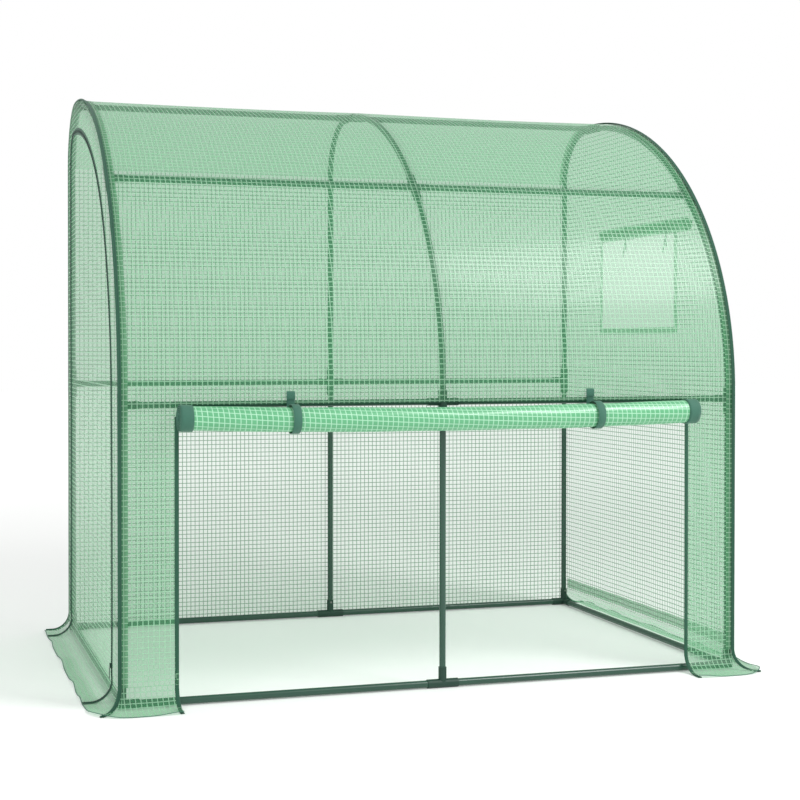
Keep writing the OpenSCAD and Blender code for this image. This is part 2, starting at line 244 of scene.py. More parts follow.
class Finish:
    """A material whose nodes are added one by one."""

    def __init__(self, name):
        self.material = bpy.data.materials.new(name)
        self.material.use_nodes = True
        self.tree = self.material.node_tree
        self.tree.nodes.clear()

    def node(self, kind, settings=None, values=None, output=0):
        """Adds a node: its settings first, then the values or links of its sockets."""
        node = self.tree.nodes.new(kind)
        for key, value in (settings or {}).items():
            setattr(node, key, value)
        for key, value in (values or {}).items():
            if isinstance(value, Signal):
                self.tree.links.new(value.socket, node.inputs[key])
            else:
                node.inputs[key].default_value = value
        return Signal(self, node.outputs[output]) if len(node.outputs) else None

    def flat(self):
        """A cut's own UV map, in metres, with its two axes."""
        flat = self.node("ShaderNodeUVMap", {"uv_map": "UVMap"})
        along = self.node("ShaderNodeSeparateXYZ", None, {0: flat})
        across = Signal(self, along.socket.node.outputs["Y"])
        return flat, along, across

    def place(self):
        """Object coordinates, in metres."""
        return self.node("ShaderNodeTexCoord", None, None, 3)

    def mix(self, factor, first, second):
        """A mix of two colours."""
        values = {0: factor, 6: first, 7: second}
        return self.node("ShaderNodeMix", {"data_type": "RGBA"}, values, 2)

    def blend(self, factor, first, second):
        """A mix of two shaders."""
        return self.node("ShaderNodeMixShader", None, {0: factor, 1: first, 2: second})

    def noise(self, vector, scale, detail=2.0, roughness=0.5):
        values = {"Vector": vector, "Scale": scale, "Detail": detail, "Roughness": roughness}
        return self.node("ShaderNodeTexNoise", None, values)

    def ease(self, value, low, high, at_low, at_high):
        """A smooth step from at_low at low to at_high at high."""
        values = {"Value": value, 1: low, 2: high, 3: at_low, 4: at_high}
        return self.node("ShaderNodeMapRange", {"interpolation_type": "SMOOTHSTEP"}, values)

    def bump(self, height, distance, strength=1.0):
        values = {"Height": height, "Distance": distance, "Strength": strength}
        return self.node("ShaderNodeBump", None, values)

    def body(self, **values):
        """The Principled shader; a socket's name is written with _ for a space."""
        named = {key.replace("_", " "): value for key, value in values.items()}
        return self.node("ShaderNodeBsdfPrincipled", None, named)

    def done(self, shader):
        self.node("ShaderNodeOutputMaterial", None, {"Surface": shader})
        return self.material


def rgba(three, strength=1.0):
    return (three[0] * strength, three[1] * strength, three[2] * strength, 1.0)


def either(first, second):
    """1 where either of two is 1."""
    return 1 - (1 - first) * (1 - second)


# ---- finishes ----


def threads(finish, settings):
    """The scrim's threads over a cut's own UV map: 1 on a thread, 0 between two."""
    flat, along, across = finish.flat()
    wander = finish.noise(flat, 9.0, 1.0)
    pitch = settings.thread_pitch
    half = settings.thread_width / 2
    lines = []
    for axis in (along, across):
        moved = axis + (wander - 0.5) * (0.25 * half)
        lines.append(finish.ease(moved.math("PINGPONG", pitch / 2), half * 0.55, half * 1.5, 1.0, 0.0))
    return flat, lines, either(*lines)


def scrim_finish(settings, name="scrim_sheet", cover=1.0, shade=1.0, thread=None):
    """Woven threads laminated in a clear green film: see-through between the threads."""
    thread = settings.thread_colour if thread is None else thread
    finish = Finish(name)
    flat, lines, crossed = threads(finish, settings)
    cloudy = finish.noise(flat, 2.3, 3.0)
    fine = finish.noise(flat, 180.0, 2.0)
    film = finish.mix(
        cloudy, rgba(settings.film_colour, 0.93 * shade), rgba(settings.film_colour, 1.07 * shade)
    )
    colours = finish.mix(crossed, film, rgba(thread, shade))
    height = lines[0] * 0.6 + lines[1] * 0.6 + fine * 0.12
    normal = finish.bump(height, 0.0005, 0.4)
    shine = finish.body(
        Base_Color=colours, Roughness=0.34 + fine * 0.14, Normal=normal, Coat_Weight=0.6,
        Coat_Roughness=0.18, Specular_IOR_Level=0.5,
    )
    glow = finish.node("ShaderNodeBsdfTranslucent", None, {"Color": colours})
    solid = finish.blend(0.5, shine, glow)
    clear = finish.node("ShaderNodeBsdfTransparent")
    film_cover = settings.film_cover * cover
    covering = crossed * (settings.thread_cover - film_cover) + film_cover + (cloudy - 0.5) * 0.06
    return finish.done(finish.blend(covering, clear, solid))


def rolled_finish(settings):
    """The same sheet where so many layers lie together that nothing shows through."""
    finish = Finish("scrim_rolled")
    flat, lines, crossed = threads(finish, settings)
    cloudy = finish.noise(flat, 11.0, 3.0)
    deep = finish.mix(
        cloudy, rgba(settings.roll_film_colour, 0.86), rgba(settings.roll_film_colour, 1.1)
    )
    colours = finish.mix(crossed * 0.85, deep, rgba(settings.roll_thread_colour))
    height = lines[0] * 0.6 + lines[1] * 0.6 + cloudy * 0.8
    shader = finish.body(
        Base_Color=colours, Roughness=0.30 + cloudy * 0.12, Coat_Weight=0.4, Coat_Roughness=0.2,
        Normal=finish.bump(height, 0.0008, 0.6),
    )
    return finish.done(shader)


def net_finish(settings):
    """A fine white insect net."""
    finish = Finish("window_mesh")
    flat, along, across = finish.flat()
    lines = [
        finish.ease(axis.math("PINGPONG", 0.0016), 0.0003, 0.0006, 1.0, 0.0)
        for axis in (along, across)
    ]
    crossed = either(*lines)
    shade = finish.noise(flat, 6.0)
    colours = finish.mix(shade, rgba(settings.net_colour, 0.94), rgba(settings.net_colour))
    solid = finish.body(Base_Color=colours, Roughness=0.6, Normal=finish.bump(crossed, 0.0003, 0.5))
    clear = finish.node("ShaderNodeBsdfTransparent")
    covering = crossed * (settings.net_cover * 1.6) + settings.net_cover * 0.4
    return finish.done(finish.blend(covering, clear, solid))


def webbing_finish(name, three, rib=0.0016):
    """Woven tape with ribs across its length: painted paler on the tops of the ribs and yarns and darker
    in the grooves between them, as painted highlight and shade, with patches of wear besides.
    """
    finish = Finish(name)
    flat, along, across = finish.flat()
    ribs = along.math("PINGPONG", rib / 2) * (2 / rib)
    yarns = across.math("PINGPONG", rib / 3) * (3 / rib)
    fuzz = finish.noise(flat, 900.0, 2.0)
    worn = finish.noise(flat, 14.0, 3.0)
    weave = ribs * 0.6 + yarns * 0.4
    # Painted light: the weave darkens the grooves and brightens the ridges, painted shade and highlight;
    # the worn noise adds patches of wear.
    colours = finish.mix(weave * 0.6 + worn * 0.5, rgba(three, 0.72), rgba(three, 1.35))
    shader = finish.body(
        Base_Color=colours, Roughness=0.62 + fuzz * 0.2, Sheen_Weight=0.15,
        Normal=finish.bump(weave + fuzz * 0.3, 0.0004, 0.7),
    )
    return finish.done(shader)


def paint_finish(settings):
    """Powder coat on steel tube: an even colour, a fine orange peel and a clean gloss."""
    finish = Finish("tube_paint")
    place = finish.place()
    peel = finish.noise(place, 420.0, 2.0)
    drift = finish.noise(place, 3.0, 3.0)
    rub = finish.ease(finish.noise(place, 60.0, 4.0, 0.7), 0.62, 0.8, 0.0, 1.0)
    colours = finish.mix(drift, rgba(settings.tube_colour, 0.85), rgba(settings.tube_colour, 1.2))
    worn = finish.mix(rub * 0.25, colours, rgba(settings.tube_colour, 1.9))
    shader = finish.body(
        Base_Color=worn, Roughness=0.30 + peel * 0.10 + rub * 0.12, Coat_Weight=0.35,
        Coat_Roughness=0.16, Normal=finish.bump(peel, 0.0003, 0.35),
    )
    return finish.done(shader)


def moulded_finish(settings):
    """Moulded plastic joints: a fine grain and slightly paler high spots."""
    finish = Finish("joint_plastic")
    place = finish.place()
    grain = finish.noise(place, 900.0, 2.0)
    drift = finish.noise(place, 14.0, 3.0)
    colours = finish.mix(
        drift * 0.7 + grain * 0.3, rgba(settings.joint_colour, 0.8), rgba(settings.joint_colour, 1.3)
    )
    shader = finish.body(
        Base_Color=colours, Roughness=0.42 + grain * 0.16, Normal=finish.bump(grain, 0.0002, 0.5)
    )
    return finish.done(shader)


def screw_finish(settings):
    finish = Finish("screw_zinc")
    place = finish.place()
    dull = finish.noise(place, 500.0, 3.0)
    colours = finish.mix(dull, rgba(settings.screw_colour, 0.7), rgba(settings.screw_colour))
    return finish.done(finish.body(Base_Color=colours, Metallic=1.0, Roughness=0.25 + dull * 0.25))


def finish_of(name):
    """The material of that name, made the first time it is asked for."""
    scene = bpy.context.scene
    cover, trim, steel = scene.cover_settings, scene.trim_settings, scene.frame_settings
    makers = {
        "scrim_sheet": lambda: scrim_finish(cover),
        # scrim_rear paints its threads in the darker rear colour: painted shade of the back-lit sheets.
        "scrim_rear": lambda: scrim_finish(cover, "scrim_rear", 0.5, 1.0, cover.rear_thread_shade_colour),
        "scrim_hem": lambda: scrim_finish(cover, "scrim_hem", 1.25, 0.9),
        "scrim_rolled": lambda: rolled_finish(cover),
        "window_mesh": lambda: net_finish(cover),
        "piping_tape": lambda: webbing_finish("piping_tape", trim.piping_colour),
        "binding_tape": lambda: webbing_finish("binding_tape", trim.binding_colour, 0.0022),
        "tube_paint": lambda: paint_finish(steel),
        "joint_plastic": lambda: moulded_finish(steel),
        "screw_zinc": lambda: screw_finish(steel),
    }
    return bpy.data.materials.get(name) or makers[name]()


# ---- shapes ----


def spaced(start, end, step):
    """Even places from start to end, no further apart than step."""
    count = max(1, math.ceil(abs(end - start) / step - 1e-6))
    return [start + (end - start) * i / count for i in range(count + 1)]


def joined(*runs):
    """Runs of places that meet end to end, as one list."""
    whole = list(runs[0])
    for run in runs[1:]:
        whole += run[1:]
    return whole


def outline(t, offset):
    """A point of the hoop's line, moved outwards by offset, as (y, z).

    t is 0 to 1 up the front, to 2 over the front arc, to 3 round the rear bend, to 4 down the rear.
    """
    if t <= 1:
        return FRONT_Y - offset, SKIRT_TOP + (ARC_Z - SKIRT_TOP) * t
    if t <= 2:
        angle = math.pi / 2 * (t - 1)
        reach = FRONT_R + offset
        return ARC_Y - reach * math.cos(angle), ARC_Z + reach * math.sin(angle)
    if t <= 3:
        angle = math.pi / 2 * (3 - t)
        reach = REAR_R + offset
        return ARC_Y + reach * math.cos(angle), BEND_Z + reach * math.sin(angle)
    return REAR_Y + offset, BEND_Z - (BEND_Z - SKIRT_TOP) * (t - 3)


def outward(t):
    """The direction away from the inside at that place of the outline, as (y, z)."""
    if t <= 1:
        return -1.0, 0.0
    if t <= 2:
        angle = math.pi / 2 * (t - 1)
        return -math.cos(angle), math.sin(angle)
    if t <= 3:
        angle = math.pi / 2 * (3 - t)
        return math.cos(angle), math.sin(angle)
    return 1.0, 0.0


def header_station():
    """Where the door header crosses the outline."""
    return (HEADER_Z - SKIRT_TOP) / (ARC_Z - SKIRT_TOP)


def outline_stations(step=STEP):
    """Places t along the whole outline, about step apart."""
    sizes = [ARC_Z - SKIRT_TOP, FRONT_R * math.pi / 2, REAR_R * math.pi / 2, BEND_Z - SKIRT_TOP]
    split = header_station()
    runs = [spaced(0, split, step / sizes[0]), spaced(split, 1, step / sizes[0])]
    for part in range(1, 4):
        runs.append(spaced(part, part + 1, step / sizes[part]))
    return joined(*runs)


def lengths_along(stations, offset):
    """The length along the outline at each station."""
    total, last, found = 0.0, None, []
    for t in stations:
        place = Vector(outline(t, offset))
        if last is not None:
            total += (place - last).length
        found.append(total)
        last = place
    return found


def pick(*pieces):
    """Selects those pieces and no others, the first of them active."""
    for other in bpy.context.view_layer.objects:
        other.select_set(False)
    for piece in pieces:
        piece.select_set(True)
    if pieces:
        bpy.context.view_layer.objects.active = pieces[0]


def add_piece(name, points, faces, uvs=None, merge=0.0):
    """A mesh object at the origin, smooth, with a UV map in metres where one is given."""
    mesh = bpy.data.meshes.new(name)
    mesh.from_pydata([tuple(p) for p in points], [], faces)
    if uvs:
        layer = mesh.uv_layers.new(name="UVMap")
        for loop in mesh.loops:
            layer.data[loop.index].uv = uvs[loop.vertex_index]
    shaped = bmesh.new()
    shaped.from_mesh(mesh)
    loose = [v for v in shaped.verts if not v.link_faces]
    bmesh.ops.delete(shaped, geom=loose, context="VERTS")
    if merge:
        bmesh.ops.remove_doubles(shaped, verts=shaped.verts, dist=merge)
    for face in shaped.faces:
        face.smooth = True
    shaped.to_mesh(mesh)
    shaped.free()
    piece = bpy.data.objects.new(name, mesh)
    bpy.context.scene.collection.objects.link(piece)
    return piece


def cloth(name, grid, keep=None, merge=0.0, flip=False):
    """A sheet of one layer. grid holds rows of (place, (u, v) of the flat cut)."""
    columns = len(grid[0])
    points = [place for row in grid for place, _ in row]
    uvs = [uv for row in grid for _, uv in row]
    faces = []
    for j in range(len(grid) - 1):
        for i in range(columns - 1):
            a = j * columns + i
            corners = (a, a + 1, a + columns + 1, a + columns)
            if keep is None or keep(*[sum(uvs[c][k] for c in corners) / 4 for k in (0, 1)]):
                faces.append(corners[::-1] if flip else corners)
    return add_piece(name, points, faces, uvs, merge)


def sweep(name, path, section, closed_ring=True):
    """Moves a section along a path. path holds (place, across, up); section holds (a, b)."""
    count = len(section)
    points, uvs, faces = [], [], []
    along, last = 0.0, None
    rim = [0.0]
    for k in range(1, count):
        rim.append(rim[-1] + (Vector(section[k]) - Vector(section[k - 1])).length)
    for place, across, up in path:
        place = Vector(place)
        along += (place - last).length if last is not None else 0.0
        last = place
        for k, (a, b) in enumerate(section):
            points.append(place + Vector(across) * a + Vector(up) * b)
            uvs.append((along, rim[k]))
    for j in range(len(path) - 1):
        for k in range(count if closed_ring else count - 1):
            a, b = j * count + k, j * count + (k + 1) % count
            faces.append((a, b, b + count, a + count))
    if closed_ring:
        faces.append(tuple(reversed(range(count))))
        faces.append(tuple(range((len(path) - 1) * count, len(path) * count)))
    piece = add_piece(name, points, faces, uvs)
    return recalculated(piece) if closed_ring else piece


def recalculated(piece):
    """The piece with the faces of its closed shells turned outwards."""
    shaped = bmesh.new()
    shaped.from_mesh(piece.data)
    bmesh.ops.recalc_face_normals(shaped, faces=shaped.faces)
    shaped.to_mesh(piece.data)
    shaped.free()
    return piece


def strip_section(width, thick):
    """A flat tape's section with eased edges."""
    w, t = width / 2, thick / 2
    ease = min(t * 0.8, w * 0.2)
    return [(-w, -t + ease), (-w + ease, -t), (w - ease, -t), (w, -t + ease),
            (w, t - ease), (w - ease, t), (-w + ease, t), (-w, t - ease)]


def round_section(radius, sides=12):
    turn = 2 * math.pi / sides
    return [(radius * math.cos(k * turn), radius * math.sin(k * turn)) for k in range(sides)]


def merged(name, pieces):
    """Several pieces joined into one, with its own name."""
    pick(*pieces)
    bpy.ops.object.join()
    whole = bpy.context.view_layer.objects.active
    whole.name = name
    whole.data.name = name
    whole.select_set(False)
    return whole


def copied(name, first, places):
    """The piece copied to each place and joined into one. The first itself is dropped."""
    copies = []
    for place in places:
        copy = first.copy()
        copy.data = first.data.copy()
        copy.data.transform(place)
        bpy.context.scene.collection.objects.link(copy)
        copies.append(copy)
    bpy.data.objects.remove(first)
    return merged(name, copies)


def settle(piece, finish, nodes=()):
    """Gives a piece its finish, its body and the nodes it stands for."""
    piece.data.materials.clear()
    piece.data.materials.append(finish_of(finish))
    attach(piece, "root")
    if nodes:
        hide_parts(*nodes)
    return piece


# ---- the cover's soft shape ----


def roof_wave(x, length_up, ripple, sag):
    """How far the stretched cover stands off its even line: in between hoops, out in folds."""
    bay = abs(math.sin(math.pi * x / HALF_LENGTH))
    low = math.exp(-length_up / 0.5)
    drum = -sag * bay
    pull = 0.35 * ripple * math.sin(7.0 * x + 5.0 * length_up) * math.sin(2.3 * length_up + 1.0)
    folds = ripple * low * (1 + math.sin(46 * x + 3 * math.sin(4 * length_up)))
    return drum + bay * pull + folds


def end_wave(y, z, ripple):
    """The same for the flat ends: hardly any at the top, soft upright folds lower down."""
    inside = min(1.0, max(0.0, (REAR_Y - y) / 0.2), max(0.0, (y - FRONT_Y) / 0.2))
    low = math.exp(-(z - SKIRT_TOP) / 0.45)
    broad = math.sin(5.2 * y + 1.3 * z + 0.6) * math.sin(2.6 * z + 0.4)
    folds = math.sin(31 * y + 2.2 * math.sin(3 * z))
    return inside * ripple * (0.9 * broad + 0.9) + ripple * low * (0.8 + 0.8 * folds)


def skirt_section(run):
    """A skirt's section at that length from its top: (distance outwards, height)."""
    turn = SKIRT_TURN * math.pi / 2
    if run < turn:
        angle = run / SKIRT_TURN
        return SKIRT_TURN * (1 - math.cos(angle)), SKIRT_TOP - SKIRT_TURN * math.sin(angle) + 0.0012
    return SKIRT_TURN + run - turn, 0.0012


SKIRT_LENGTH = SKIRT_TURN * math.pi / 2 + SKIRT_W - SKIRT_TURN


def skirt_point(base, direction, run, along):
    """A point of a skirt: it leaves base along direction, and its edge lies in low waves."""
    away, height = skirt_section(run)
    free = (run / SKIRT_LENGTH) ** 2
    wave = 0.5 + 0.5 * math.sin(23 * along + 1.7 * math.sin(5.1 * along))
    height += 0.009 * free * wave * wave
    away += 0.004 * free * math.sin(17 * along + 0.8)
    away = min(away, SKIRT_W)
    return Vector((base[0] + direction[0] * away, base[1] + direction[1] * away, height))


def corner_path(side):
    """Bases and directions along the side skirt, round the corner and along the front strip."""
    found = []
    x = side * (HALF_LENGTH + SHEET_MID)
    for y in spaced(REAR_Y + SHEET_MID - 0.002, FRONT_Y, STEP):
        found.append(((x, y), (side, 0.0)))
    for angle in spaced(0, math.pi / 2, math.pi / 28)[1:]:
        direction = (side * math.cos(angle), -math.sin(angle))
        base = (side * HALF_LENGTH + SHEET_MID * direction[0], FRONT_Y + SHEET_MID * direction[1])
        found.append((base, direction))
    for x in spaced(HALF_LENGTH, DOORWAY_HALF, 0.015)[1:]:
        found.append(((side * x, FRONT_Y - SHEET_MID), (0.0, -1.0)))
    return found


# ---- pieces of the cover ----


def build_roof(cover):
    """One sheet from the rear seam over the roof to the header, and on down both front strips."""
    stations = [t for t in outline_stations() if t <= 3]
    ups = lengths_along(stations, SHEET_MID)
    sides = spaced(DOORWAY_HALF, END_OUT, 0.02)
    middle = spaced(-DOORWAY_HALF, DOORWAY_HALF, STEP)
    across = joined([-x for x in reversed(sides)], middle, sides)
    grid = []
    for t, up in zip(stations, ups):
        y, z = outline(t, SHEET_MID)
        ny, nz = outward(t)
        row = []
        for x in across:
            off = roof_wave(x, up, cover.ripple, cover.bay_sag)
            off *= min(1.0, (END_OUT - abs(x)) / 0.03)
            row.append(((x, y + ny * off, z + nz * off), (x, up)))
        grid.append(row)
    header_up = ups[stations.index(header_station())]

    def keep(u, v):
        return v > header_up or abs(u) > DOORWAY_HALF

    roof = settle(cloth("roof_sheet", grid, keep), "scrim_sheet",
                  ["roof_cover", "front_left_flap", "front_right_flap"])
    return roof


def build_rear(cover):
    grid = []
    for z in spaced(BEND_Z, 0.004, STEP):
        row = []
        for x in spaced(-END_OUT, END_OUT, STEP):
            bay = abs(math.sin(math.pi * x / HALF_LENGTH))
            off = -0.6 * cover.bay_sag * bay * math.sin(math.pi * z / BEND_Z)
            off += 0.25 * cover.ripple * bay * math.sin(8 * x + 3 * z)
            row.append(((x, REAR_Y + SHEET_MID + off, z), (x, z)))
        grid.append(row)
    rear = settle(cloth("rear_sheet", grid), "scrim_rear", ["rear_cover"])
    return rear


def across_at(z, offset):
    """Where an end's outline lies at that height: (front y, rear y)."""
    front = FRONT_Y - offset
    rear = REAR_Y + offset
    if z > ARC_Z:
        front = ARC_Y - math.sqrt(max(0.0, (FRONT_R + offset) ** 2 - (z - ARC_Z) ** 2))
    if z > BEND_Z:
        rear = ARC_Y + math.sqrt(max(0.0, (REAR_R + offset) ** 2 - (z - BEND_Z) ** 2))
    return front, rear


def end_grid(side, offset, cover, window=None):
    """Rows across an end, from the skirt to the ridge. A window's edges get lines of their own."""
    reach = REAR_R + offset
    heights = joined(spaced(SKIRT_TOP, BEND_Z, STEP),
                     [BEND_Z + reach * math.sin(a) for a in spaced(0, math.pi / 2, math.pi / 36)])
    if window:
        heights = joined(
            spaced(SKIRT_TOP, window[0].z, STEP), spaced(window[0].z, window[1].z, STEP),
            spaced(window[1].z, BEND_Z, STEP), heights[heights.index(BEND_Z):])
    grid = []
    for z in heights:
        front, rear = across_at(z, offset)
        wide = rear - front
        inner = [front + wide / 3, rear - wide / 3]
        if window:
            inner = [max(window[0].y, front + 0.12 * wide), min(window[1].y, rear - 0.12 * wide)]
            inner[1] = max(inner[1], inner[0] + 0.1 * wide)
        ys = []
        parts = ((front, inner[0], 14), (inner[0], inner[1], 20), (inner[1], rear, 12))
        for low, high, count in parts:
            ys += [low + (high - low) * i / count for i in range(count)]
        ys.append(rear)
        row = []
        for y in ys:
            off = end_wave(y, z, cover.ripple)
            row.append(((side * (END_X + off), y, z), (y, z)))
        grid.append(row)
    return grid


def build_left_end(cover):
    stations = outline_stations(0.035)
    grid = []
    for t in stations:
        row = []
        for offset in spaced(SHEET_MID - 0.001, -ZIP_INSET, 0.02):
            y, z = outline(t, offset)
            row.append(((-END_X - end_wave(y, z, cover.ripple), y, z), (y, z)))
        grid.append(row)
    surround = settle(cloth("left_end_band", grid), "scrim_sheet", ["left_end_surround"])
    strip = lengths_along(stations, (SHEET_MID - ZIP_INSET) / 2)[-1]
    door = cloth("left_door_sheet", end_grid(-1, -ZIP_INSET, cover), merge=1e-5, flip=True)
    settle(door, "scrim_sheet", ["left_zip_door"])
    return surround, door


def build_right_end(cover):
    window = (WINDOW_LOW, WINDOW_HIGH)

    def keep(y, z):
        return not (WINDOW_LOW.y < y < WINDOW_HIGH.y and WINDOW_LOW.z < z < WINDOW_HIGH.z)

    panel = cloth("right_end_sheet", end_grid(1, SHEET_MID - 0.001, cover, window), keep, 1e-5)
    settle(panel, "scrim_rear", ["right_end_panel"])
    grid = [
        [((END_X + end_wave(y, z, cover.ripple) - LAYER, y, z), (y, z))
         for y in spaced(WINDOW_LOW.y - 0.01, WINDOW_HIGH.y + 0.01, STEP)]
        for z in spaced(WINDOW_LOW.z - 0.01, WINDOW_HIGH.z + 0.01, STEP)
    ]
    net = settle(cloth("window_insect_net", grid), "window_mesh", ["window_net"])
    return panel, net


def build_hems(cover):
    """Doubled edges: along the foot of the right end, and below and beside the window."""
    strips = []
    for z0, z1, y0, y1, gap in (
        (SKIRT_TOP + 0.004, SKIRT_TOP + 0.046, FRONT_Y, REAR_Y, LAYER),
        (WINDOW_LOW.z - 0.022, WINDOW_LOW.z, WINDOW_LOW.y - 0.022, WINDOW_HIGH.y + 0.022, LAYER),
        (WINDOW_LOW.z, WINDOW_HIGH.z, WINDOW_LOW.y - 0.022, WINDOW_LOW.y, LAYER),
        (WINDOW_LOW.z, WINDOW_HIGH.z, WINDOW_HIGH.y, WINDOW_HIGH.y + 0.022, LAYER),
    ):
        grid = [
            [((END_X + end_wave(y, z, cover.ripple) + gap, y, z), (y + 0.009, z + 0.006))
             for y in spaced(y0, y1, STEP)]
            for z in spaced(z0, z1, 0.022)
        ]
        strips.append(cloth("hem", grid))
    hems = settle(merged("sheet_hems", strips), "scrim_hem")
    return hems


def build_seams(cover):
    """Doubled seams of the roof, inboard of the piping at both ends."""
    stations = [t for t in outline_stations() if t <= 3]
    ups = lengths_along(stations, SHEET_MID)
    strips = []
    for side in (-1, 1):
        grid = []
        for t, up in zip(stations, ups):
            y, z = outline(t, SHEET_MID + LAYER)
            ny, nz = outward(t)
            row = []
            for inboard in spaced(0.034, 0.004, 0.01):
                x = side * (END_OUT - inboard)
                off = roof_wave(x, up, cover.ripple, cover.bay_sag) * min(1.0, inboard / 0.03)
                row.append(((x, y + ny * off, z + nz * off), (x + 0.009, up + 0.006)))
            grid.append(row)
        strips.append(cloth("seam", grid, flip=side > 0))
    seams = settle(merged("roof_seams", strips), "scrim_hem")
    return seams


def build_skirts():
    pieces = []
    for side, name, panel, nodes in (
        (-1, "left_skirt_sheet", "left_end_band", ["left_skirt", "front_left_skirt"]),
        (1, "right_skirt_sheet", "right_end_sheet", ["right_skirt", "front_right_skirt"]),
    ):
        path = corner_path(side)
        runs = spaced(0, SKIRT_LENGTH, 0.008)
        grid, along, last = [], 0.0, None
        for base, direction in path:
            edge = Vector(base) + Vector(direction) * SKIRT_W * 0.6
            along += (edge - last).length if last is not None else 0.0
            last = edge
            grid.append([(skirt_point(base, direction, run, along), (along, run)) for run in runs])
        skirt = settle(cloth(name, grid, flip=side < 0), "scrim_sheet", nodes)
        rim = [(row[-1][0], Vector((*direction, 0.0)), Vector((0, 0, 1)))
               for row, (_, direction) in zip(grid, path)]
        pieces.append(sweep("rim", rim, strip_section(0.003, 0.0018)))
    edge = settle(merged("skirt_edges", pieces), "binding_tape")
    return edge


# ---- trims ----


def end_path(x, offset, across_out, flare_front, flare_rear):
    """A path along an end's outline that runs on over the skirt at both feet."""
    stations = outline_stations(0.03)
    runs = spaced(0, SKIRT_LENGTH - 0.004, 0.012)
    found = []
    for t in (0, 4):
        y, _ = outline(t, offset)
        direction = flare_front if t == 0 else flare_rear
        foot = []
        for run in runs[1:]:
            away, height = skirt_section(run)
            foot.append(Vector((x + direction[0] * away, y + direction[1] * away, height + across_out)))
        found.append(foot)
    line = [Vector((x, *outline(t, offset))) for t in stations]
    return list(reversed(found[0])) + line + found[1]


def framed(points, reference):
    """A path's points with an across and an up direction at each. reference(place) is up."""
    found = []
    for i, place in enumerate(points):
        tangent = (points[min(i + 1, len(points) - 1)] - points[max(i - 1, 0)]).normalized()
        up = reference(place)
        across = tangent.cross(up).normalized()
        found.append((place, across, across.cross(tangent).normalized()))
    return found


def build_piping(trim):
    """Corded piping along the seams of both ends, flaring out over the skirt."""
    radius = trim.piping_radius
    offset = FRONT_Y - PIPING_LOW.y - radius
    pieces = []
    for side in (-1, 1):
        x = side * (PIPING_HIGH.x - radius)
        half = math.sqrt(0.5)
        points = end_path(x, offset, radius * 0.6, (side * half, -half), (side, 0.0))
        path = framed(points, lambda place, s=side: Vector((s, 0, 0.001)))
        pieces.append(sweep("cord", path, round_section(radius)))
        lips = [(place - Vector((side * 0.004, 0, 0)), across, up) for place, across, up in path]
        lip = [(-0.0006 - radius * 0.4, -0.006), (0.0006 - radius * 0.4, -0.006),
               (0.0006 - radius * 0.4, 0.004), (-0.0006 - radius * 0.4, 0.004)]
        pieces.append(sweep("lip", lips, lip))
    return settle(merged("seam_piping", pieces), "piping_tape", ["edge_piping"])


def zip_line(cover):
    """The zip's line over the seam between the left end's band and its door."""
    points = end_path(-END_X, -ZIP_INSET, 0.0015, (-1.0, 0.0), (-1.0, 0.0))
    found = []
    for place in points:
        wave = end_wave(place.y, place.z, cover.ripple) if place.z > SKIRT_TOP else 0.0
        found.append(place + Vector((-wave - LAYER, 0, 0)))
    return found


def build_zip(cover, trim):
    points = zip_line(cover)

    def away(place):
        if place.z >= SKIRT_TOP:
            return Vector((-1, 0, 0))
        angle = math.asin(max(0.0, min(1.0, (SKIRT_TOP - place.z) / SKIRT_TURN)))
        return Vector((-math.cos(angle), 0, math.sin(angle) + 1e-4))

    path = framed(points, away)
    tape = sweep("zip_tape", path, strip_section(trim.zip_tape, 0.0012))
    settle(tape, "piping_tape", ["door_zip"])
    raised = [(place + up * 0.0012, across, up) for place, across, up in path]
    coil = settle(sweep("zip_coil", raised, strip_section(0.007, 0.0018)), "joint_plastic")
    teeth = build_teeth(path, trim)
    return tape, coil, teeth


def build_teeth(path, trim):
    """Small moulded teeth that alternate along the coil."""
    tooth = primitive("primitive_cube_add", size=1)
    tooth.scale = (0.0052, 0.0034, 0.0012)
    place_applied(tooth)
    places = []
    along, sign = 0.0, 1
    for (start, across, up), (end, _, _) in zip(path, path[1:]):
        run = (end - start).length
        tangent = (end - start).normalized()
        while along < run:
            place = start + tangent * along + up * 0.0026 + across * (0.0012 * sign)
            turn = Matrix((across, tangent, up)).transposed().to_4x4()
            places.append(Matrix.Translation(place) @ turn)
            sign = -sign
            along += trim.tooth_pitch
        along -= run
    return settle(copied("zip_teeth", tooth, places), "joint_plastic")


def primitive(kind, **values):
    """A primitive added by its operator, with nothing else selected."""
    pick()
    getattr(bpy.ops.mesh, kind)(**values)
    return bpy.context.view_layer.objects.active


def place_applied(piece):
    """The piece's place, turn and scale written into its mesh."""
    pick(piece)
    bpy.ops.object.transform_apply(location=True, rotation=True, scale=True)
    piece.select_set(False)
    return piece


def eased(piece, width, segments=2):
    """The piece with its edges rounded by a bevel."""
    pick(piece)
    bevel = piece.modifiers.new("ease", "BEVEL")
    bevel.width = width
    bevel.segments = segments
    bevel.limit_method = "ANGLE"
    bpy.ops.object.modifier_apply(modifier=bevel.name)
    bpy.ops.object.shade_smooth_by_angle(angle=math.radians(35))
    piece.select_set(False)
    return piece


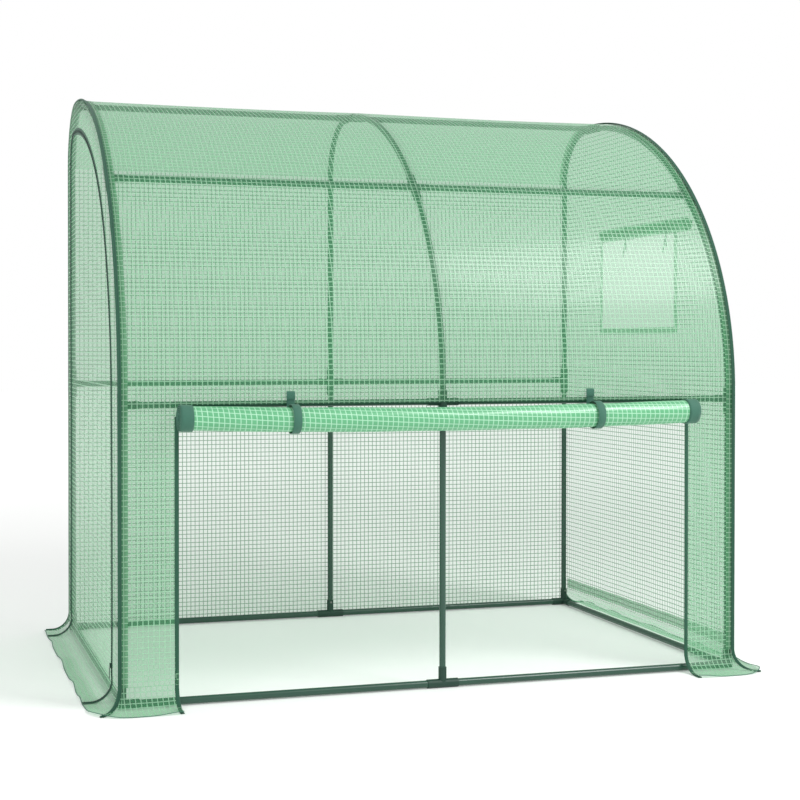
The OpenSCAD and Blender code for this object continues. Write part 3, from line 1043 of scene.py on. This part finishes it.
def build_zip_pull(cover):
    """A slider with its hanging tab, near the foot of the zip at the front."""
    z = SKIRT_TOP + 0.05
    y = FRONT_Y + ZIP_INSET
    x = -END_X - end_wave(y, z, cover.ripple) - LAYER - 0.004
    slider = primitive("primitive_cube_add", size=1, location=(x, y, z))
    slider.scale = (0.007, 0.012, 0.016)
    eased(place_applied(slider), 0.0018, 3)
    tab = primitive("primitive_cube_add", size=1, location=(x - 0.004, y, z - 0.026))
    tab.scale = (0.0016, 0.009, 0.036)
    pick(place_applied(tab))
    bpy.ops.object.mode_set(mode="EDIT")
    bpy.ops.mesh.select_all(action="SELECT")
    bpy.ops.mesh.subdivide(number_cuts=2)
    bpy.ops.object.mode_set(mode="OBJECT")
    eased(tab, 0.0006, 2)
    return settle(merged("zip_pull", [slider, tab]), "joint_plastic")


def roll_centre(x):
    """The rolled door's centre line, hanging in a shallow bow."""
    half = EDGE_HIGH.x
    return ROLL_MIDDLE_Z + (ROLL_END_Z - ROLL_MIDDLE_Z) * (x / half) ** 2


def wound(name, places, plane, radius, turns, core, start, wrinkle=0.0, slant=0.0):
    """A sheet wound into a roll. places are centres along it, plane is its section's two axes.

    start is the angle at which the sheet leaves the roll, and it winds inwards from there.
    """
    steps = 30 * turns
    first, second = plane
    grid = []
    rim = [0.0]
    for k in range(steps + 1):
        reach = radius - (radius - core) * k / steps
        rim.append(rim[-1] + reach * 2 * math.pi / 30)
    for i, centre in enumerate(places):
        centre = Vector(centre)
        row = []
        for k in range(steps + 1):
            angle = start - 2 * math.pi * k / 30
            reach = radius - (radius - core) * k / steps
            along = i / max(1, len(places) - 1)
            dent = math.sin(3 * angle + 9 * along) * math.sin(21 * along + angle) - 1
            reach += 0.5 * wrinkle * dent
            place = centre + first * (reach * math.cos(angle)) + second * (reach * math.sin(angle))
            run = (centre - Vector(places[0])).length
            row.append((place, (run + slant * rim[k], rim[k] + slant * run)))
        grid.append(row)
    return cloth(name, grid), rim[-1]


def build_rolled_door(trim):
    """The front door wound outwards into a roll, with its side edges bound in tape."""
    half = ROLL_HIGH.x
    plane = (Vector((0, 1, 0)), Vector((0, 0, 1)))
    xs = spaced(-half, half, 0.025)
    radius = ROLL_R - 0.0005
    centres = [(x, ROLL_Y, roll_centre(x)) for x in xs]
    roll, wound_length = wound("door_roll", centres, plane, radius, trim.door_turns, 0.014, 0.35,
                               0.0022, 0.05)
    settle(roll, "scrim_rolled", ["rolled_door"])
    edges = []
    for side in (-1, 1):
        ends = spaced(half - 0.001, EDGE_HIGH.x, 0.012)
        places = [(side * x, ROLL_Y, roll_centre(x)) for x in ends]
        edge, _ = wound("edge", places, plane, radius + 0.0015, trim.door_turns, 0.012, 0.35, 0.001)
        thick = edge.modifiers.new("thick", "SOLIDIFY")
        thick.thickness = 0.0022
        thick.offset = 0
        pick(edge)
        bpy.ops.object.modifier_apply(modifier=thick.name)
        edges.append(recalculated(edge))
    bound = settle(merged("door_roll_bindings", edges), "binding_tape", ["door_roll_edges"])
    return roll, bound


def build_ties(trim):
    """Webbing loops round the roll, each with its overlapped end and a sewn box."""
    pieces = []
    width = trim.tie_width
    middle = TIE_HIGH.x - width / 2
    for side in (-1, 1):
        x = side * middle
        z = roll_centre(x)
        reach = ROLL_R + 0.0022
        back_y = FRONT_Y - SHEET_OUT - 0.0012
        points = [Vector((x, back_y, TIE_HIGH.z))]
        points += [Vector((x, back_y, zz)) for zz in spaced(TIE_HIGH.z, z + 0.012, 0.015)[1:]]
        for angle in spaced(0.15, -2 * math.pi - 0.5, math.pi / 24):
            grow = 0.0018 * max(0.0, (-angle - 1.55 * math.pi) / (0.6 * math.pi))
            points.append(Vector((x, ROLL_Y + (reach + grow) * math.cos(angle),
                                  z + (reach + grow) * math.sin(angle))))
        path = framed(points, lambda place, cz=z: (place - Vector((place.x, ROLL_Y, cz))).normalized())
        pieces.append(sweep("strap", path, strip_section(width, 0.0016)))
        box = primitive("primitive_cube_add", size=1, location=(x, back_y - 0.002, TIE_HIGH.z - 0.016))
        box.scale = (width * 1.06, 0.0022, 0.026)
        pieces.append(eased(place_applied(box), 0.0008))
    straps = merged("roll_ties", pieces)
    settle(straps, "binding_tape", ["door_ties"])
    return straps


def build_doorway_tapes():
    """Bound upright edges of the doorway, which run on over the skirt."""
    pieces = []
    width = TAPE_HIGH.x - DOORWAY_HALF
    for side in (-1, 1):
        x = side * (DOORWAY_HALF + width / 2 - 0.002)
        y = FRONT_Y - SHEET_MID
        feet = []
        for run in spaced(0, SKIRT_LENGTH - 0.004, 0.012)[1:]:
            away, height = skirt_section(run)
            feet.append(Vector((x, y - away, height + 0.001)))
        points = list(reversed(feet))
        points += [Vector((x, y - 0.0004, z)) for z in spaced(SKIRT_TOP, ROLL_END_Z, STEP)]
        path = framed(points, lambda place: Vector((0, -1, 1e-3)) if place.z > SKIRT_TOP
                      else Vector((0, -place.z / SKIRT_TOP - 0.05, 1.0)).normalized())
        pieces.append(sweep("binding", path, strip_section(width, 0.0034)))
    return settle(merged("doorway_bindings", pieces), "piping_tape", ["doorway_tapes"])


def build_window_flap(trim):
    """The window's flap wound up above it, held by two tied tapes."""
    radius = (WINDOW_ROLL_HIGH.x - WINDOW_ROLL_LOW.x) / 2
    x = (WINDOW_ROLL_HIGH.x + WINDOW_ROLL_LOW.x) / 2
    z = (WINDOW_ROLL_HIGH.z + WINDOW_ROLL_LOW.z) / 2
    plane = (Vector((1, 0, 0)), Vector((0, 0, 1)))
    places = [(x, y, z) for y in spaced(WINDOW_ROLL_LOW.y, WINDOW_ROLL_HIGH.y, 0.025)]
    roll, wound_length = wound("window_flap_roll", places, plane, radius - 0.001, trim.window_turns,
                               0.008, math.pi - 0.4, 0.0018, STEP)
    settle(roll, "scrim_rolled", ["window_roll"])
    ties = []
    inner = WINDOW_HIGH.y - WINDOW_LOW.y
    for part in (0.13, 0.68):
        y = WINDOW_LOW.y + inner * part
        points = []
        for angle in spaced(math.pi, -math.pi, math.pi / 20):
            points.append(Vector((x + radius * math.cos(angle), y, z + radius * math.sin(angle))))
        path = framed(points, lambda place: (place - Vector((x, place.y, z))).normalized())
        ties.append(sweep("loop", path, strip_section(0.010, 0.0012)))
        for drop, lean in ((0.075, 0.012), (0.055, -0.014)):
            hanging = [Vector((END_X + 0.010 - 0.006 * s, y + lean * s, z - radius * 0.9 - drop * s))
                       for s in spaced(0, 1, 0.12)]
            hung = framed(hanging, lambda place: Vector((1, 0, 0)))
            ties.append(sweep("end", hung, strip_section(0.008, 0.001)))
    tied = settle(merged("window_ties", ties), "binding_tape")
    return roll, tied


# ---- frame details ----


def build_screws(steel):
    """A pan head screw on each socket that takes a purlin, and on the feet of the hoops."""
    radius = steel.screw_radius
    first = primitive("primitive_cylinder_add", vertices=14, radius=radius, depth=0.0024)
    bpy.ops.object.mode_set(mode="EDIT")
    bpy.ops.mesh.select_all(action="DESELECT")
    bpy.ops.object.mode_set(mode="OBJECT")
    for face in first.data.polygons:
        face.select = face.normal.z > 0.9
    bpy.ops.object.mode_set(mode="EDIT")
    bpy.ops.mesh.inset(thickness=radius * 0.55, depth=-0.0007)
    bpy.ops.object.mode_set(mode="OBJECT")
    eased(first, 0.0005, 2)
    places = []
    for node, low_up in (("door_header", FRONT_Y), ("rear_purlin", REAR_Y)):
        low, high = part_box(node)
        z = (low.z + high.z) / 2
        for x, side in ((-HALF_LENGTH, 1), (0, 1), (0, -1), (HALF_LENGTH, -1)):
            places.append((Vector((x + side * 0.044, low_up, z + 0.0131)), Vector((0, 0, 1))))
    for y in (FRONT_Y, REAR_Y):
        inward = 1 if y == FRONT_Y else -1
        for x in (-HALF_LENGTH, 0, HALF_LENGTH):
            place = Vector((x, y + inward * 0.0142, LEG_LOW.z + 0.034))
            places.append((place, Vector((0, inward, 0))))
    turned = [
        Matrix.Translation(place) @ direction.to_track_quat("Z", "Y").to_matrix().to_4x4()
        for place, direction in places
    ]
    return settle(copied("joint_screws", first, turned), "screw_zinc")


def finish_frame():
    """The tubes and joints keep their shape and get their own finish."""
    for name, node in frame["nodes"].items():
        if node.hide_render:
            continue
        finish = "joint_plastic" if "joint" in name else "tube_paint"
        node.data.materials.clear()
        node.data.materials.append(finish_of(finish))


# ---- stage ----


def build_camera(view):
    data = bpy.data.cameras.new("view")
    data.sensor_width = 36
    data.lens = view.focal
    data.shift_x, data.shift_y = view.shift
    data.clip_end = 200
    camera = bpy.data.objects.new("view", data)
    camera.location = view.place
    camera.rotation_euler = (math.pi / 2 - view.pitch, 0, -view.yaw)
    bpy.context.scene.collection.objects.link(camera)
    bpy.context.scene.camera = camera


def build_floor():
    finish = Finish("pale_floor")
    matt = finish.node("ShaderNodeBsdfDiffuse", None, {"Color": (0.86, 0.87, 0.86, 1)})
    place = finish.place()
    away = finish.node("ShaderNodeVectorMath", {"operation": "LENGTH"}, {0: place}, 1)
    level = finish.ease(away, 2.5, 9.0, 0.16, 0.36)
    light = finish.node("ShaderNodeEmission", None, {"Color": (1, 1, 1, 1), "Strength": level})
    both = finish.node("ShaderNodeAddShader", None, {0: matt, 1: light})
    floor = primitive("primitive_plane_add", size=60, location=(0, 0, -0.0005))
    floor.name = "floor"
    place_applied(floor)
    floor.data.materials.append(finish.done(both))


def build_world():
    world = bpy.data.worlds.new("studio")
    bpy.context.scene.world = world
    world.use_nodes = True
    tree = world.node_tree
    tree.nodes.clear()
    path = tree.nodes.new("ShaderNodeLightPath")
    seen = tree.nodes.new("ShaderNodeMath")
    seen.operation = "MAXIMUM"
    tree.links.new(path.outputs["Is Camera Ray"], seen.inputs[0])
    tree.links.new(path.outputs["Is Transmission Ray"], seen.inputs[1])
    level = tree.nodes.new("ShaderNodeMapRange")
    level.inputs["To Min"].default_value = 0.8
    level.inputs["To Max"].default_value = 1.0
    tree.links.new(seen.outputs[0], level.inputs["Value"])
    light = tree.nodes.new("ShaderNodeBackground")
    light.inputs["Color"].default_value = (1, 1, 1, 1)
    tree.links.new(level.outputs[0], light.inputs["Strength"])
    out = tree.nodes.new("ShaderNodeOutputWorld")
    tree.links.new(light.outputs[0], out.inputs["Surface"])


def build_lamps():
    """A large soft key from the front right, and a lower fill from the left."""
    for name, place, aim, size, power in (
        ("key", (3.1, -3.4, 4.8), (0, 0, 0.9), 2.2, 190),
        ("fill", (-4.6, -3.0, 2.6), (0, 0, 1.0), 2.4, 50),
    ):
        data = bpy.data.lights.new(name, "AREA")
        data.shape = "SQUARE"
        data.size = size
        data.energy = power
        lamp = bpy.data.objects.new(name, data)
        lamp.location = place
        lamp.rotation_euler = (Vector(aim) - Vector(place)).to_track_quat("-Z", "Y").to_euler()
        bpy.context.scene.collection.objects.link(lamp)


# ---- operators ----


class BuildStage(bpy.types.Operator):
    """Adds the camera, the pale floor, the backdrop and the lamps"""

    bl_idname = "greenhouse.stage"
    bl_label = "Stage"

    def execute(self, context):
        context.scene.view_settings.view_transform = "Standard"
        build_camera(context.scene.view_settings_greenhouse)
        build_floor()
        build_world()
        build_lamps()
        return {"FINISHED"}


class BuildRoof(bpy.types.Operator):
    """Adds the roof with its two front strips"""

    bl_idname = "greenhouse.roof"
    bl_label = "Roof and front strips"

    def execute(self, context):
        build_roof(context.scene.cover_settings)
        build_seams(context.scene.cover_settings)
        return {"FINISHED"}


class BuildRear(bpy.types.Operator):
    """Adds the rear sheet, which stands at the wall"""

    bl_idname = "greenhouse.rear"
    bl_label = "Rear sheet"

    def execute(self, context):
        build_rear(context.scene.cover_settings)
        return {"FINISHED"}


class BuildLeftEnd(bpy.types.Operator):
    """Adds the left end's band and its zipped door"""

    bl_idname = "greenhouse.left_end"
    bl_label = "Left end"

    def execute(self, context):
        build_left_end(context.scene.cover_settings)
        return {"FINISHED"}


class BuildRightEnd(bpy.types.Operator):
    """Adds the right end, its window net and the doubled hems"""

    bl_idname = "greenhouse.right_end"
    bl_label = "Right end"

    def execute(self, context):
        build_right_end(context.scene.cover_settings)
        build_hems(context.scene.cover_settings)
        return {"FINISHED"}


class BuildSkirts(bpy.types.Operator):
    """Adds the skirts that lie on the ground"""

    bl_idname = "greenhouse.skirts"
    bl_label = "Skirts"

    def execute(self, context):
        build_skirts()
        return {"FINISHED"}


class BuildRolledDoor(bpy.types.Operator):
    """Adds the rolled front door, its bound ends and its ties"""

    bl_idname = "greenhouse.rolled_door"
    bl_label = "Rolled door"

    def execute(self, context):
        build_rolled_door(context.scene.trim_settings)
        build_ties(context.scene.trim_settings)
        return {"FINISHED"}


class BuildWindowFlap(bpy.types.Operator):
    """Adds the rolled window flap and its tapes"""

    bl_idname = "greenhouse.window_flap"
    bl_label = "Window flap"

    def execute(self, context):
        build_window_flap(context.scene.trim_settings)
        return {"FINISHED"}


class BuildZip(bpy.types.Operator):
    """Adds the zip of the left door, with its teeth and pull"""

    bl_idname = "greenhouse.zip"
    bl_label = "Zip"

    def execute(self, context):
        build_zip(context.scene.cover_settings, context.scene.trim_settings)
        build_zip_pull(context.scene.cover_settings)
        return {"FINISHED"}


class BuildTrims(bpy.types.Operator):
    """Adds the piping of the ends and the bound edges of the doorway"""

    bl_idname = "greenhouse.trims"
    bl_label = "Piping and bindings"

    def execute(self, context):
        build_piping(context.scene.trim_settings)
        build_doorway_tapes()
        return {"FINISHED"}


class FinishFrame(bpy.types.Operator):
    """Paints the tubes and joints and adds the screws"""

    bl_idname = "greenhouse.frame"
    bl_label = "Frame finish"

    def execute(self, context):
        finish_frame()
        build_screws(context.scene.frame_settings)
        return {"FINISHED"}


class GreenhousePanel(bpy.types.Panel):
    """The greenhouse's settings and build steps"""

    bl_idname = "VIEW3D_PT_greenhouse"
    bl_label = "Greenhouse"
    bl_space_type = "VIEW_3D"
    bl_region_type = "UI"
    bl_category = "Greenhouse"

    def draw(self, context):
        layout = self.layout
        for settings in SETTINGS:
            group = getattr(context.scene, settings)
            box = layout.box()
            for key in group.bl_rna.properties.keys():
                if key not in ("rna_type", "name"):
                    box.prop(group, key)
        for operator in OPERATORS:
            layout.operator(operator.bl_idname)


SETTINGS = {
    "cover_settings": CoverSettings,
    "trim_settings": TrimSettings,
    "frame_settings": FrameSettings,
    "view_settings_greenhouse": ViewSettings,
}
OPERATORS = [
    BuildStage, BuildRoof, BuildRear, BuildLeftEnd, BuildRightEnd, BuildSkirts,
    BuildRolledDoor, BuildWindowFlap, BuildZip, BuildTrims, FinishFrame,
]


def register():
    for group in SETTINGS.values():
        bpy.utils.register_class(group)
    for key, group in SETTINGS.items():
        setattr(bpy.types.Scene, key, bpy.props.PointerProperty(type=group))
    for each in [*OPERATORS, GreenhousePanel]:
        bpy.utils.register_class(each)


def unregister():
    for each in [GreenhousePanel, *reversed(OPERATORS)]:
        bpy.utils.unregister_class(each)
    for key, group in SETTINGS.items():
        delattr(bpy.types.Scene, key)
        bpy.utils.unregister_class(group)


def main():
    register()
    bpy.ops.greenhouse.stage()
    bpy.ops.greenhouse.roof()
    bpy.ops.greenhouse.rear()
    bpy.ops.greenhouse.left_end()
    bpy.ops.greenhouse.right_end()
    bpy.ops.greenhouse.skirts()
    bpy.ops.greenhouse.rolled_door()
    bpy.ops.greenhouse.window_flap()
    bpy.ops.greenhouse.zip()
    bpy.ops.greenhouse.trims()
    bpy.ops.greenhouse.frame()


if __name__ == "__main__":
    main()
